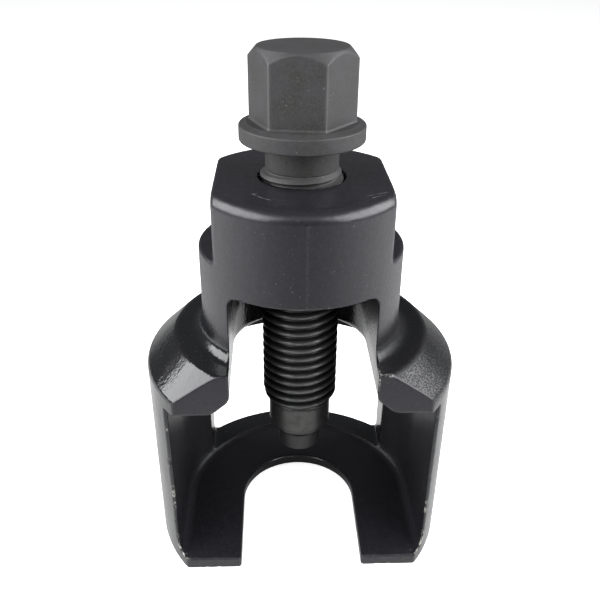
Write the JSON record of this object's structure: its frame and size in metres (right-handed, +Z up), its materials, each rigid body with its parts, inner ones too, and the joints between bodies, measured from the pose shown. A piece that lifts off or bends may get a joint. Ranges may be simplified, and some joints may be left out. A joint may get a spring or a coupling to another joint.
{
  "type": "ball joint separator",
  "caption": "Bell-type ball joint separator: forged fork housing with a hex-head force screw and a swivelling pressure tip.",
  "frame": {"origin": "centre of the pressure tip's flat pressing face, on the screw's axis, with the screw at rest as pictured", "axes": "+Z up along the screw's axis towards the hexagon; the housing's three openings face -Y; +X to the right of a viewer who looks into them"},
  "size_m": [0.081, 0.066, 0.1328],
  "materials": {
    "black_coat": "satin black coat on a forging, slight orange peel, worn edges",
    "phosphated_steel": "matte dark grey phosphate on steel, oiled black in the thread",
    "hardened_steel": "dark turned and hardened steel",
    "bright_steel": "polished bearing ball",
    "spring_steel": "plain spring wire"
  },
  "bodies": {
    "housing": {"bell_housing": "black_coat"},
    "tip": {"pressure_tip": "hardened_steel"},
    "screw": {"force_screw": "phosphated_steel", "thrust_ball": "bright_steel", "retaining_ring": "spring_steel"}
  },
  "joints": [
    {"name": "screw_feed", "type": "slide", "parent": "housing", "child": "tip", "axis": [0, 0, 1], "range_m": [-0.00851, 0.03751]},
    {"name": "screw_turn", "type": "hinge", "parent": "tip", "child": "screw", "pos_m": [0, 0, 0], "axis": [0, 0, 1], "range_deg": [-1224, 5400]}
  ],
  "couplings": [
    {"joint": "screw_feed", "follows": "screw_turn", "m_per_rad": 0.00039789}
  ]
}
